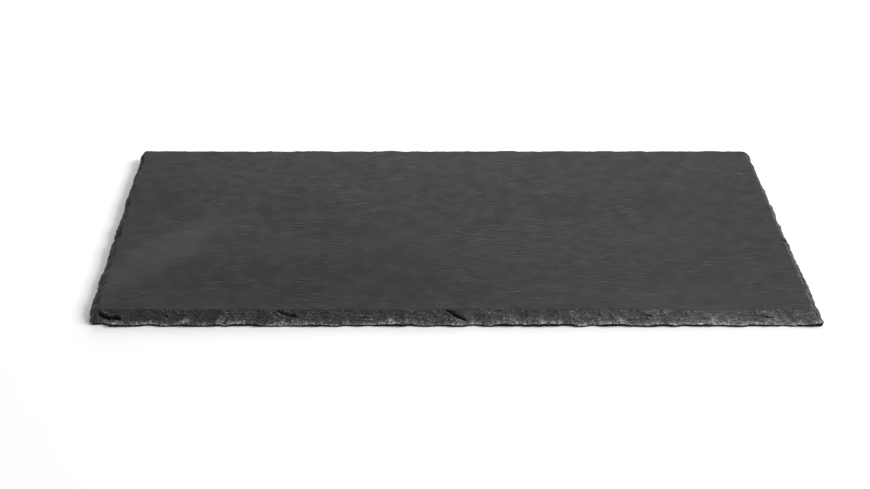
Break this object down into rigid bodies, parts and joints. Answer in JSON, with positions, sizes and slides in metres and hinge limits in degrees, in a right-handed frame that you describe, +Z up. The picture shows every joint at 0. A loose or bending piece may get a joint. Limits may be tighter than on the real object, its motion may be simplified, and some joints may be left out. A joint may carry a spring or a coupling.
{
  "type": "slate slab",
  "caption": "Flat rectangular slate slab with a split face and a rough edge of flake scars all round, for serving or display.",
  "frame": {"origin": "middle of the footprint, on the surface that the slab rests on", "axes": "+X along the length, +Y across the width to the back, +Z up out of the top face"},
  "size_m": [0.4997, 0.2998, 0.009],
  "materials": {
    "slate": "matte"
  },
  "bodies": {
    "root": {"slate_slab": "slate"}
  },
  "joints": []
}
